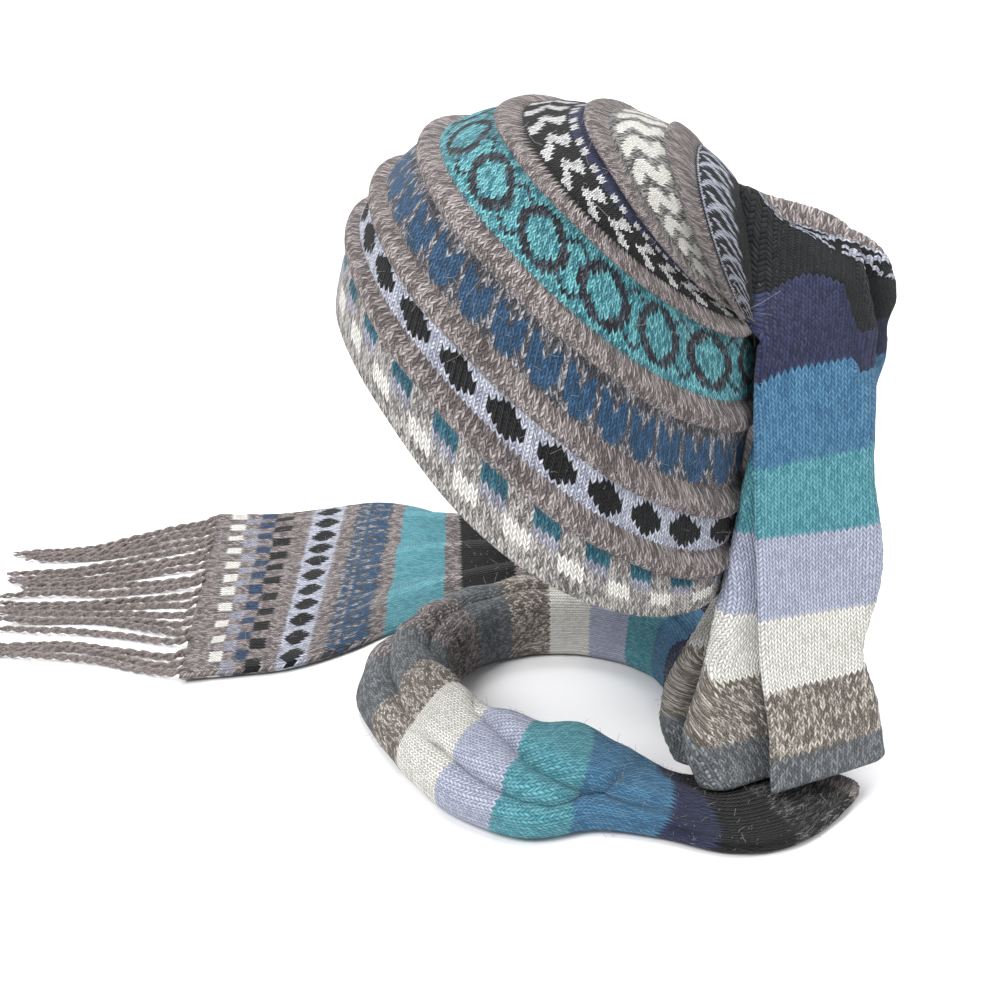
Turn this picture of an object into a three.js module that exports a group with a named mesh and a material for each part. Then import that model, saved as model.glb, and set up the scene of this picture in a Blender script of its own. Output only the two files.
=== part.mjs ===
// A knitted scarf hat: a long straight tube of knitting that is worn as a slouchy hat,
// hangs down as a pleated tail, lies round the neck as a gathered scarf and ends in a fringe.
// Millimetres, +Z up. Heights in the tables are above the surface that the scarf lies on;
// the finished group is lowered so that the inside top of the crown is the origin.
import * as THREE from 'three';
import { mergeVertices } from 'three/addons/utils/BufferGeometryUtils.js';

const SEAT_HEIGHT = 294;
const KNIT_WALL = 3;
const TUBE_FLAT_WIDTH = 250;
const TWO_LAYERS = 5;
const SMALL_GAP = 0.6;

// The space that the hat is stretched over: a blunt egg, longer from brow to nape.
const HEAD_FORM = {
  centre: new THREE.Vector3(-4, 0, 180),
  turn: -28.5,
  halfLength: 99,
  halfWidth: 81,
  halfHeight: 114,
  browBluntness: 2.05,
  napeBluntness: 2.8,
  crownBluntness: 2.25,
  lowerTaper: 0.07,
};

// Where the tail hangs against the hat, its wall is drawn in.
const TUCK = { x: 98, y: -24, depth: 11, reach: 32 };

const WELT_HEIGHT = 4.5;
const WELT_HALF_WIDTH = 6;
const RING_POINTS = 28;

// One row for each knitted ring: knit is the distance along the knitting from the brim,
// crest and foot are where the ring crosses the profile, sag is how far its sides drop,
// grow is how far it stands off the form, and sideX and sideZ lean its plane.
const RING_SIDE_Y = 0.939;
const HAT_RINGS = columns('knit crestX crestZ footX footZ sag welt grow sideX sideZ', [
  [0, -84, 195, 99, 101, 20, 0, 0, 0.312, 0.148],
  [31, -84, 236, 96, 118, 7, 1, 0, 0.312, 0.148],
  [63, -76, 259, 97, 142, 0, 1, 0, 0.312, 0.148],
  [101, -57, 284, 101, 177, -3, 1, 0, 0.312, 0.148],
  [149, -24, 300, 105, 208, -5, 1, 0, 0.312, 0.148],
  [195, 22, 297, 103, 209, -3, 1, 0, 0.27, 0.16],
  [239, 58.6, 277.4, 93, 210, 3, 1, 1.5, 0.153, 0.164],
  [255, 71, 263, 92.5, 208, 1, 0, 5.5, 0.15, 0.18],
  [271, 82.4, 247, 92, 207, 0, 0, 12, 0.15, 0.2],
  [280, 84, 243, 92, 209, 0, 0, 9, 0.15, 0.2],
]);

// The pleats are a folded line: each run of cloth turns back on a round fold.
const FOLD_RADIUS = 3.9;
const FOLD_STEPS = 3;

// The tail: the left and right edges of its front panel, then how far the hidden folds
// reach past the left edge and past the right edge behind it, how deep one pleat is, how far
// each pleat leans to the right, and the degrees that the pleats swing round at the crown.
const TAIL = columns('leftX leftY leftZ rightX rightY rightZ left right deep skew turn', [
  [82, -59, 207, 80, -17, 256, -36, 0, 5.6, 0, 44],
  [81, -63, 204, 99, -23, 254, -34, 0, 6, 0, 36],
  [80, -65, 201, 120, -34, 245, -22, 8, 7.5, 0.3, 16],
  [79, -66, 193, 127, -49, 223, -13, 20, 8, 0.45, 4],
  [79, -68, 176, 128, -58, 192, -7, 13, 8, 0.5, 0],
  [80, -70, 148, 131, -61, 155, 1, 2, 8, 0.5, 0],
  [83, -72, 110, 137, -62, 112, 6, 0, 8, 0.52, 0],
  [85, -75, 85, 138, -62, 88, 10, 0, 9, 0.35, 0],
  [87, -82, 60, 133, -66, 64, 20, 0, 10, 0, 0],
  [89, -94, 38, 142, -72, 42, 30, 0, 11, 0, 0],
  [89, -106, 16.5, 147, -78, 18.5, 20, 0, 12, 0, 0],
]);
const TAIL_RUNS = 5;

// The scarf round the neck, by compass heading from the middle of the neck: how far out its
// inner and outer edges lie, the cloth in its tallest roll, how much less each next roll
// has, and how far the rolls are squashed down.
const NECK_CENTRE = { x: 2, y: -5 };
const FRONT_WRAP = [
  { heading: 150, inner: 56, outer: 104, roll: 46, step: 5, low: 1 },
  { heading: 174, inner: 53, outer: 102, roll: 46, step: 6, low: 0.95 },
  { heading: 198, inner: 53, outer: 94, roll: 46, step: 7, low: 0.9 },
  { heading: 220, inner: 57, outer: 96, roll: 48, step: 9, low: 0.85 },
  { heading: 242, inner: 64, outer: 109, roll: 50, step: 10, low: 0.82 },
  { heading: 260, inner: 68, outer: 118, roll: 50, step: 10, low: 0.8 },
  { heading: 276, inner: 69, outer: 110, roll: 50, step: 10, low: 0.76 },
  { heading: 289, inner: 72, outer: 120, roll: 50, step: 9, low: 0.5 },
  { heading: 300, inner: 84, outer: 144, roll: 48, step: 7, low: 0.26 },
  { heading: 313, inner: 96, outer: 153, roll: 46, step: 5, low: 0.2 },
  { heading: 331, inner: 100, outer: 152, roll: 44, step: 3, low: 0.2 },
];
const REAR_WRAP = [
  { heading: -20, inner: 54, outer: 101, roll: 46, step: 5, low: 0.7 },
  { heading: 5, inner: 55, outer: 102, roll: 46, step: 5, low: 0.9 },
  { heading: 30, inner: 60, outer: 107, roll: 46, step: 5, low: 1.1 },
  { heading: 60, inner: 64, outer: 111, roll: 46, step: 5, low: 1.15 },
  { heading: 90, inner: 65, outer: 112, roll: 46, step: 5, low: 1.1 },
  { heading: 120, inner: 62, outer: 109, roll: 46, step: 5, low: 1.05 },
  { heading: 149, inner: 56, outer: 104, roll: 46, step: 5, low: 1 },
];
const WRAP_FOLD_ANGLE = 88;
const WRAP_RUNS = 6;

// The end of the scarf: the tube comes round behind the neck in its pleats and opens out
// flat. near and far are the two edges in plan, fold is the fold angle of the pleats.
const SCARF_END = [
  { nearX: 106.4, nearY: -24, farX: 147, farY: -28, fold: 89, low: 0.7 },
  { nearX: 106.4, nearY: 14, farX: 147, farY: 16, fold: 89, low: 0.9 },
  { nearX: 102, nearY: 56, farX: 142, farY: 72, fold: 89, low: 0.9 },
  { nearX: 76, nearY: 94, farX: 104, farY: 130, fold: 89, low: 0.9 },
  { nearX: 36, nearY: 123, farX: 52, farY: 188, fold: 84, low: 0.8 },
  { nearX: -6, nearY: 124, farX: -4, farY: 220, fold: 77, low: 0.6 },
  { nearX: -46, nearY: 118, farX: -50, farY: 262, fold: 66, low: 0.4 },
  { nearX: -84, nearY: 96, farX: -84, farY: 298, fold: 48, low: 0.22 },
  { nearX: -110, nearY: 68, farX: -112, farY: 309, fold: 30, low: 0.12 },
  { nearX: -138, nearY: 46, farX: -142, farY: 299, fold: 16, low: 0.1 },
  { nearX: -166, nearY: 38, farX: -180, farY: 286, fold: 8, low: 0.1 },
  { nearX: -194, nearY: 30, farX: -222, farY: 281, fold: 4, low: 0.1 },
];

// The fringe: cords knotted along the end, lying in bunches that taper to their tips.
const FRINGE = [
  { rootNear: 0.8, rootFar: 1, tipX: -337, tipY: 205, tipWidth: 22 },
  { rootNear: 0.49, rootFar: 0.77, tipX: -325, tipY: 158, tipWidth: 24 },
  { rootNear: 0.2, rootFar: 0.46, tipX: -322, tipY: 116, tipWidth: 28 },
  { rootNear: 0, rootFar: 0.17, tipX: -316, tipY: 66, tipWidth: 20 },
];
const FRINGE_THICK = 5;
const FRINGE_STEPS = 6;

const TAUPE = 0x8f8582;
const CHARCOAL = 0x2a2c30;
const DENIM = 0x3f7ea8;
const TEAL = 0x4f9fae;
const LAVENDER = 0xb4bbd4;

// A table written as plain rows under the names of its columns.
function columns(names, rows) {
  const keys = names.split(' ');
  return rows.map((row) => Object.fromEntries(row.map((value, k) => [keys[k], value])));
}

// Smooth value of one column of a table, for a place counted in rows.
function column(rows, key, place) {
  const last = rows.length - 1;
  const i = Math.min(Math.floor(place), last - 1);
  const f = place - i;
  const at = (k) => rows[Math.max(0, Math.min(last, k))][key];
  const slopeIn = i > 0 ? (at(i + 1) - at(i - 1)) / 2 : at(i + 1) - at(i);
  const slopeOut = i + 1 < last ? (at(i + 2) - at(i)) / 2 : at(i + 1) - at(i);
  const f2 = f * f;
  const f3 = f2 * f;
  return at(i) * (2 * f3 - 3 * f2 + 1) + slopeIn * (f3 - 2 * f2 + f)
    + at(i + 1) * (3 * f2 - 2 * f3) + slopeOut * (f3 - f2);
}

function rowAt(rows, place) {
  const row = {};
  for (const key of Object.keys(rows[0])) row[key] = column(rows, key, place);
  return row;
}

// A closed solid between two grids of points. A round one closes on itself along each row,
// and a capped one also closes its last row to a point.
function clothSolid(outer, inner, { round = false, capped = false } = {}) {
  const rows = outer.length;
  const points = outer[0].length;
  const positions = [];
  const index = [];
  for (const grid of [outer, inner]) {
    for (const row of grid) for (const p of row) positions.push(p.x, p.y, p.z);
  }
  const at = (side, i, j) => (side * rows + i) * points + (j % points);
  const quad = (a, b, c, d) => index.push(a, b, c, a, c, d);
  const spans = round ? points : points - 1;
  for (let i = 0; i < rows - 1; i++) {
    for (let j = 0; j < spans; j++) {
      quad(at(0, i, j), at(0, i, j + 1), at(0, i + 1, j + 1), at(0, i + 1, j));
      quad(at(1, i, j), at(1, i + 1, j), at(1, i + 1, j + 1), at(1, i, j + 1));
    }
  }
  for (let j = 0; j < spans; j++) {
    quad(at(0, 0, j), at(1, 0, j), at(1, 0, j + 1), at(0, 0, j + 1));
    if (!capped) {
      const end = rows - 1;
      quad(at(0, end, j), at(0, end, j + 1), at(1, end, j + 1), at(1, end, j));
    }
  }
  if (!round) {
    for (let i = 0; i < rows - 1; i++) {
      const end = points - 1;
      quad(at(0, i, 0), at(0, i + 1, 0), at(1, i + 1, 0), at(1, i, 0));
      quad(at(0, i, end), at(1, i, end), at(1, i + 1, end), at(0, i + 1, end));
    }
  }
  if (capped) {
    for (const side of [0, 1]) {
      const ring = (side === 0 ? outer : inner)[rows - 1];
      const middle = ring.reduce((sum, p) => sum.add(p), new THREE.Vector3()).divideScalar(points);
      const tip = positions.length / 3;
      positions.push(middle.x, middle.y, middle.z);
      for (let j = 0; j < points; j++) {
        if (side === 0) index.push(at(0, rows - 1, j), at(0, rows - 1, j + 1), tip);
        else index.push(at(1, rows - 1, j + 1), at(1, rows - 1, j), tip);
      }
    }
  }
  const geometry = new THREE.BufferGeometry();
  geometry.setAttribute('position', new THREE.Float32BufferAttribute(positions, 3));
  geometry.setIndex(index);
  return facingOut(mergeVertices(geometry, 1e-3));
}

// Turns the faces round if the body's signed volume says that they point inwards.
function facingOut(geometry) {
  const position = geometry.getAttribute('position');
  const index = geometry.getIndex();
  const corner = [new THREE.Vector3(), new THREE.Vector3(), new THREE.Vector3()];
  let volume = 0;
  for (let k = 0; k < index.count; k += 3) {
    corner.forEach((c, n) => c.fromBufferAttribute(position, index.getX(k + n)));
    volume += corner[0].dot(corner[1].clone().cross(corner[2]));
  }
  if (volume < 0) {
    for (let k = 0; k < index.count; k += 3) {
      const first = index.getX(k);
      index.setX(k, index.getX(k + 1));
      index.setX(k + 1, first);
    }
  }
  geometry.computeVertexNormals();
  return geometry;
}

// Below 1 inside the head form, above 1 outside.
function headForm(p) {
  const turn = THREE.MathUtils.degToRad(HEAD_FORM.turn);
  const d = p.clone().sub(HEAD_FORM.centre);
  const below = Math.max(0, -d.z) / HEAD_FORM.halfHeight;
  const waist = 1 - HEAD_FORM.lowerTaper * below;
  const along = (d.x * Math.cos(turn) + d.y * Math.sin(turn)) / (HEAD_FORM.halfLength * waist);
  const across = (-d.x * Math.sin(turn) + d.y * Math.cos(turn)) / (HEAD_FORM.halfWidth * waist);
  const up = Math.max(0, d.z) / HEAD_FORM.halfHeight;
  const lengthwise = along < 0 ? HEAD_FORM.browBluntness : HEAD_FORM.napeBluntness;
  const upwards = HEAD_FORM.crownBluntness;
  return Math.abs(along) ** lengthwise + Math.abs(across) ** upwards + up ** upwards;
}

// How far the head form's surface lies from a point inside it, in one direction.
function reach(from, direction) {
  let near = 0;
  let far = 260;
  for (let k = 0; k < 30; k++) {
    const middle = (near + far) / 2;
    if (headForm(from.clone().addScaledVector(direction, middle)) < 1) near = middle;
    else far = middle;
  }
  return near;
}

// A point on the head form, in the plane of the ring at this row, lifted off the form.
function ringPoint(row, angle, lift) {
  const crest = new THREE.Vector3(row.crestX, 0, row.crestZ);
  const foot = new THREE.Vector3(row.footX, 0, row.footZ);
  const slope = foot.clone().sub(crest).normalize();
  const leaning = new THREE.Vector3(row.sideX, RING_SIDE_Y, row.sideZ);
  const normal = slope.clone().cross(leaning).normalize();
  const side = normal.clone().cross(slope).normalize();
  const chord = crest.clone().lerp(foot, 0.5);
  const back = reach(chord, slope);
  const forward = reach(chord, slope.clone().negate());
  const centre = chord.addScaledVector(slope, (back - forward) / 2);
  const direction = slope.clone().multiplyScalar(-Math.cos(angle));
  direction.addScaledVector(side, Math.sin(angle));
  const drop = row.sag * Math.sin(angle) ** 2;
  centre.addScaledVector(normal, -drop);
  const distance = reach(centre, direction);
  const onForm = centre.clone().addScaledVector(direction, distance);
  const fromTail = Math.hypot(onForm.x - TUCK.x, onForm.y - TUCK.y) / TUCK.reach;
  const tuck = TUCK.depth * Math.exp(-fromTail * fromTail);
  return onForm.addScaledVector(direction, lift - tuck);
}

function makeHat() {
  const outer = [];
  const inner = [];
  const addRing = (place, lift) => {
    const row = rowAt(HAT_RINGS, place);
    const ring = [];
    const lining = [];
    for (let j = 0; j < RING_POINTS; j++) {
      const angle = (j / RING_POINTS) * 2 * Math.PI;
      ring.push(ringPoint(row, angle, KNIT_WALL + lift + row.grow));
      lining.push(ringPoint(row, angle, row.grow));
    }
    outer.push(ring);
    inner.push(lining);
  };
  HAT_RINGS.forEach((ring, i) => {
    const before = i > 0 ? ring.knit - HAT_RINGS[i - 1].knit : 0;
    const after = i < HAT_RINGS.length - 1 ? HAT_RINGS[i + 1].knit - ring.knit : 0;
    if (!ring.welt) {
      addRing(i, 0);
    } else {
      addRing(i - WELT_HALF_WIDTH / before, 0);
      addRing(i - (0.5 * WELT_HALF_WIDTH) / before, WELT_HEIGHT * 0.75);
      addRing(i, WELT_HEIGHT);
      addRing(i + (0.5 * WELT_HALF_WIDTH) / after, WELT_HEIGHT * 0.75);
      addRing(i + WELT_HALF_WIDTH / after, 0);
    }
    if (after > WELT_HALF_WIDTH * 2) addRing(i + 0.5, 0);
  });
  return clothSolid(outer, inner, { round: true, capped: true });
}

// The folded line of one section, as offsets across and up, with its normal at each point.
// The runs come in pairs of equal length, so that every valley comes back to the ground.
function foldedLine(runLengths, foldAngle) {
  const angle = THREE.MathUtils.degToRad(Math.max(foldAngle, 1));
  const arc = FOLD_RADIUS * angle;
  const line = [];
  let across = 0;
  let up = 0;
  const put = (heading) => line.push({ across, up, nx: -Math.sin(heading), ny: Math.cos(heading) });
  const go = (length, heading) => {
    across += length * Math.cos(heading);
    up += length * Math.sin(heading);
  };
  put(angle);
  runLengths.forEach((length, k) => {
    const sign = k % 2 === 0 ? 1 : -1;
    const ends = (k > 0 ? 1 : 0) + (k < runLengths.length - 1 ? 1 : 0);
    go(length - ends * arc, sign * angle);
    put(sign * angle);
    if (k < runLengths.length - 1) {
      for (let s = 1; s <= FOLD_STEPS; s++) {
        const turned = sign * angle * (1 - (2 * s) / FOLD_STEPS);
        go((2 * arc) / FOLD_STEPS, sign * angle * (1 - (2 * s - 1) / FOLD_STEPS));
        put(turned);
      }
    }
  });
  return line;
}

// Lays a folded line from one edge point to another: across is scaled to fit between them.
function laidSection(line, start, end, up, low) {
  const last = line[line.length - 1];
  const across = end.clone().sub(start);
  const stretch = across.length() / last.across;
  across.normalize();
  const floor = Math.min(...line.map((p) => p.up));
  const place = (p, offset) => {
    const nx = p.nx * low;
    const ny = p.ny * stretch;
    const size = Math.hypot(nx, ny);
    const half = (offset * TWO_LAYERS) / 2;
    return start.clone()
      .addScaledVector(across, p.across * stretch + (nx / size) * half)
      .addScaledVector(up, (p.up - floor) * low + (ny / size) * half + TWO_LAYERS / 2);
  };
  return { top: line.map((p) => place(p, 1)), bottom: line.map((p) => place(p, -1)) };
}

function pleatedSolid(rows, steps, sectionAt) {
  const outer = [];
  const inner = [];
  for (let i = 0; i <= steps; i++) {
    const place = (i / steps) * (rows.length - 1);
    const section = sectionAt(rowAt(rows, place));
    outer.push(section.top);
    inner.push(section.bottom);
  }
  return clothSolid(outer, inner);
}

function polar(heading, radius) {
  const a = THREE.MathUtils.degToRad(heading);
  return new THREE.Vector3(
    NECK_CENTRE.x + radius * Math.cos(a),
    NECK_CENTRE.y + radius * Math.sin(a),
    0,
  );
}

function makeWrap(rows, steps) {
  return pleatedSolid(rows, steps, (row) => {
    const runs = [];
    for (let k = 0; k < WRAP_RUNS; k++) runs.push(row.roll - row.step * Math.floor(k / 2));
    const line = foldedLine(runs, WRAP_FOLD_ANGLE);
    const start = polar(row.heading, row.inner + TWO_LAYERS / 2);
    const end = polar(row.heading, row.outer - TWO_LAYERS / 2);
    return laidSection(line, start, end, new THREE.Vector3(0, 0, 1), row.low);
  });
}

function makeScarfEnd() {
  return pleatedSolid(SCARF_END, 16, (row) => {
    const runs = Array(WRAP_RUNS).fill(TUBE_FLAT_WIDTH / WRAP_RUNS);
    const line = foldedLine(runs, row.fold);
    const start = new THREE.Vector3(row.nearX, row.nearY, 0);
    const end = new THREE.Vector3(row.farX, row.farY, 0);
    return laidSection(line, start, end, new THREE.Vector3(0, 0, 1), row.low);
  });
}

// The tail's section: its runs go to and fro across the panel, each behind the last.
function tailSection(row) {
  const left = new THREE.Vector3(row.leftX, row.leftY, row.leftZ);
  const right = new THREE.Vector3(row.rightX, row.rightY, row.rightZ);
  const across = right.clone().sub(left);
  const width = across.length();
  across.normalize();
  const down = new THREE.Vector3(across.z, 0, -across.x).normalize();
  const back = across.clone().cross(down).normalize();
  if (back.y < 0) back.negate();
  back.applyAxisAngle(across, -THREE.MathUtils.degToRad(row.turn));
  const radius = row.deep / 2;
  const edgeOf = (k, depth) => {
    if (k === 0) return width;
    return k % 2 === 0 ? width + row.right - row.skew * depth : -row.left;
  };
  const line = [];
  let depth = 0;
  line.push({ x: 0, y: 0, nx: 0, ny: -1 });
  for (let k = 0; k < TAIL_RUNS; k++) {
    const sign = k % 2 === 0 ? 1 : -1;
    const last = k === TAIL_RUNS - 1;
    const stop = edgeOf(k, depth) - sign * (last ? 0 : radius);
    line.push({ x: stop, y: depth, nx: 0, ny: -sign });
    if (!last) {
      for (let s = 1; s <= FOLD_STEPS; s++) {
        const a = (Math.PI * s) / FOLD_STEPS;
        line.push({
          x: stop + sign * radius * Math.sin(a),
          y: depth + radius * (1 - Math.cos(a)),
          nx: Math.sin(a),
          ny: -sign * Math.cos(a),
        });
      }
      depth += row.deep;
    }
  }
  const half = Math.min(TWO_LAYERS, row.deep - SMALL_GAP) / 2;
  const place = (p, offset) => left.clone()
    .addScaledVector(across, p.x + row.skew * p.y + offset * half * p.nx)
    .addScaledVector(back, p.y + offset * half * p.ny);
  return { top: line.map((p) => place(p, 1)), bottom: line.map((p) => place(p, -1)) };
}

// One bunch of fringe cords: a slab as wide as its roots, drawn in to its tips.
function makeBunch(bunch) {
  const end = SCARF_END[SCARF_END.length - 1];
  const near = new THREE.Vector3(end.nearX, end.nearY, 0);
  const far = new THREE.Vector3(end.farX, end.farY, 0);
  const away = new THREE.Vector3(near.y - far.y, far.x - near.x, 0).normalize();
  const clear = away.multiplyScalar(SMALL_GAP);
  const rootA = near.clone().lerp(far, bunch.rootNear).add(clear);
  const rootB = near.clone().lerp(far, bunch.rootFar).add(clear);
  const tipA = new THREE.Vector3(bunch.tipX, bunch.tipY - bunch.tipWidth / 2, 0);
  const tipB = new THREE.Vector3(bunch.tipX, bunch.tipY + bunch.tipWidth / 2, 0);
  const upper = [];
  const lower = [];
  for (let i = 0; i <= FRINGE_STEPS; i++) {
    const f = i / FRINGE_STEPS;
    const draw = f * f * (3 - 2 * f);
    const a = rootA.clone().lerp(tipA, f);
    const b = rootB.clone().lerp(tipB, f);
    const narrow = 0.12 * Math.sin(Math.PI * draw);
    const top = [];
    const bottom = [];
    for (let j = 0; j <= 3; j++) {
      const p = a.clone().lerp(b, narrow + (1 - 2 * narrow) * (j / 3));
      const thick = FRINGE_THICK * (j % 3 === 0 ? 0.6 : 1) * (1 - 0.3 * f);
      bottom.push(p.clone());
      top.push(p.clone().setZ(thick));
    }
    upper.push(top);
    lower.push(bottom);
  }
  return clothSolid(upper, lower);
}

function knit(color) {
  return new THREE.MeshStandardMaterial({ color, roughness: 0.95, metalness: 0 });
}

const scarfHat = new THREE.Group();
scarfHat.position.z = -SEAT_HEIGHT;

function addPiece(name, geometry, color) {
  const mesh = new THREE.Mesh(geometry, knit(color));
  mesh.name = name;
  scarfHat.add(mesh);
}

addPiece('hat_body', makeHat(), TEAL);
addPiece('tail_drop', pleatedSolid(TAIL, 16, tailSection), DENIM);
addPiece('front_wrap', makeWrap(FRONT_WRAP, 16), LAVENDER);
addPiece('rear_wrap', makeWrap(REAR_WRAP, 12), CHARCOAL);
addPiece('scarf_end', makeScarfEnd(), TAUPE);
FRINGE.forEach((bunch, i) => addPiece(`fringe_bunch_${i + 1}`, makeBunch(bunch), TAUPE));

export default scarfHat;
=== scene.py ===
# %% [markdown]
# A knitted scarf hat, finished in Blender.
#
# The real thing is one long tube of knitting. It starts as a slouchy hat, hangs down as a
# pleated tail, lies round the neck as a gathered scarf and ends in a flat panel with a fringe.
# The loaded frame holds plain solids of the right size. Here each of them gets a fine surface
# drawn from tables of the same measures, with a few more folds out of sight, and the knitting
# programmes of the stretches follow on from one another to colour them.

import math

import bpy
import numpy as np
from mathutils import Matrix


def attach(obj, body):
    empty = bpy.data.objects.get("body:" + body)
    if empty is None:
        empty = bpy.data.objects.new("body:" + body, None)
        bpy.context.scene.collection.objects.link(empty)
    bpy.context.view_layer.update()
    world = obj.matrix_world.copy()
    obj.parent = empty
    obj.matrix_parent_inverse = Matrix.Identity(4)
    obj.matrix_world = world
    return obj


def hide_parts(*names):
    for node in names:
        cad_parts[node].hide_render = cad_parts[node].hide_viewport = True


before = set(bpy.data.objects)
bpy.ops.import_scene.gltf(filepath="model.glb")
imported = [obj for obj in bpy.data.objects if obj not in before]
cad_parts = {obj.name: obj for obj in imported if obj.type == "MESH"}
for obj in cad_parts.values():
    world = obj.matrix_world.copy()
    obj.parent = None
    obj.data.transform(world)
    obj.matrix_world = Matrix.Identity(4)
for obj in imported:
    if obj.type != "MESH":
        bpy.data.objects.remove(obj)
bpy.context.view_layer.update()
print("frame nodes:", sorted(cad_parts))

# %% [markdown]
# Measures. The tables are in millimetres above the surface that the scarf lies on, and the
# finished meshes are lowered and scaled to metres, so that the inside top of the crown is the
# origin. A table has named columns, and a smooth curve through its rows gives any place between.

# %% Units and tables
MM = 0.001
SEAT_HEIGHT = 294.0
# The size of one stitch, how many there are round the hat and across the end's upper layer,
# and how high the ribs between them stand.
WALE = 2.85
ROW = 2.2
WALES_ROUND = 192
END_WALES = 88
RIB_HEIGHT = 0.22
# The hat is one layer of knitting, and its rows of mesh are FINE_STEP apart. Everywhere else
# the flattened tube lies in two, and its faces are HALF_CLOTH from the middle between them.
KNIT_WALL = 3.0
HALF_CLOTH = 2.5
FINE_STEP = 1.45


def to_frame(points):
    """Points in millimetres above the table, as metres in the shared frame."""
    lowered = np.asarray(points, float) - np.array([0.0, 0.0, SEAT_HEIGHT])
    return lowered * MM


def table(names, *rows):
    """A table with named columns, as one array for each column."""
    columns = np.array(rows, float).T
    return dict(zip(names.split(), columns))


def smooth_column(values, place):
    """A smooth curve through the rows of one column, read at places counted in rows."""
    last = len(values) - 1
    i = np.clip(np.floor(place).astype(int), 0, last - 1)
    f = place - i
    before = values[np.maximum(i - 1, 0)]
    here = values[i]
    there = values[i + 1]
    beyond = values[np.minimum(i + 2, last)]
    slope_in = np.where(i > 0, (there - before) / 2, there - here)
    slope_out = np.where(i + 1 < last, (beyond - here) / 2, there - here)
    f2 = f * f
    f3 = f2 * f
    return (
        here * (2 * f3 - 3 * f2 + 1)
        + slope_in * (f3 - 2 * f2 + f)
        + there * (3 * f2 - 2 * f3)
        + slope_out * (f3 - f2)
    )


def rows_at(columns, places):
    """All columns of a table at these places, counted in rows."""
    places = np.asarray(places, float)
    return {name: smooth_column(values, places) for name, values in columns.items()}


def unit(vectors):
    length = np.linalg.norm(vectors, axis=-1, keepdims=True)
    return vectors / np.maximum(length, 1e-9)


def step(low, high, values):
    """0 below low, 1 above high, and smooth between."""
    t = np.clip((values - low) / (high - low), 0, 1)
    return t * t * (3 - 2 * t)


# %% [markdown]
# A knitted mesh is a grid: rows of knitting one way, wales (the columns of stitches) the other.
# Each corner carries its place in the knitting as its UV, the wale number and the row number,
# so the material can draw every stitch and every colour change where the needles put it.

# %% Grid meshes
def grid_faces(rows, points, closed, start=0):
    """Corner numbers of a grid's four-sided faces."""
    i = np.arange(rows - 1)[:, None]
    j = np.arange(points if closed else points - 1)[None, :]
    k = (j + 1) % points
    a = i * points + j
    b = i * points + k
    c = (i + 1) * points + k
    d = (i + 1) * points + j
    return start + np.stack(np.broadcast_arrays(a, b, c, d), axis=-1).reshape(-1, 4)


def grid_places(wale, row, closed, wrap=0.0):
    """UV of each corner of grid_faces; a closed grid's last wale runs on past the seam."""
    if closed:
        wale = np.concatenate([wale, wale[:, :1] + wrap], axis=1)
        row = np.concatenate([row, row[:, :1]], axis=1)
    corners = [(0, 0), (0, 1), (1, 1), (1, 0)]
    rows, points = wale.shape
    parts = []
    for di, dj in corners:
        u = wale[di : rows - 1 + di, dj : points - 1 + dj]
        v = row[di : rows - 1 + di, dj : points - 1 + dj]
        parts.append(np.stack([u, v], axis=-1))
    return np.stack(parts, axis=2).reshape(-1, 4, 2)


def build_mesh(name, points, faces, places):
    """A smooth object of four-sided faces, points in millimetres above the table."""
    mesh = bpy.data.meshes.new(name)
    mesh.vertices.add(len(points))
    mesh.vertices.foreach_set("co", to_frame(points).astype(np.float32).ravel())
    mesh.loops.add(faces.size)
    mesh.loops.foreach_set("vertex_index", faces.astype(np.int32).ravel())
    mesh.polygons.add(len(faces))
    mesh.polygons.foreach_set("loop_start", np.arange(0, faces.size, 4, dtype=np.int32))
    layer = mesh.uv_layers.new(name="knit")
    layer.data.foreach_set("uv", places.astype(np.float32).ravel())
    mesh.update(calc_edges=True)
    mesh.validate()
    mesh.shade_smooth()
    obj = bpy.data.objects.new(name, mesh)
    bpy.context.scene.collection.objects.link(obj)
    print(name, len(mesh.vertices), "points,", 2 * len(mesh.polygons), "triangles")
    return obj


def surface_normals(grid):
    """The way that a grid of points faces, at each of them."""
    along = np.gradient(grid, axis=0)
    across = np.gradient(grid, axis=1)
    return unit(np.cross(across, along))


def edge_round(count, spacing):
    """How thick the cloth is near the two ends of a line of points: 1 inside, round at the rim."""
    distance = np.minimum(np.arange(count), np.arange(count)[::-1]) * spacing
    inside = np.clip(1 - distance / HALF_CLOTH, 0, 1)
    return np.sqrt(np.maximum(1 - inside**2, 0.01))


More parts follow.
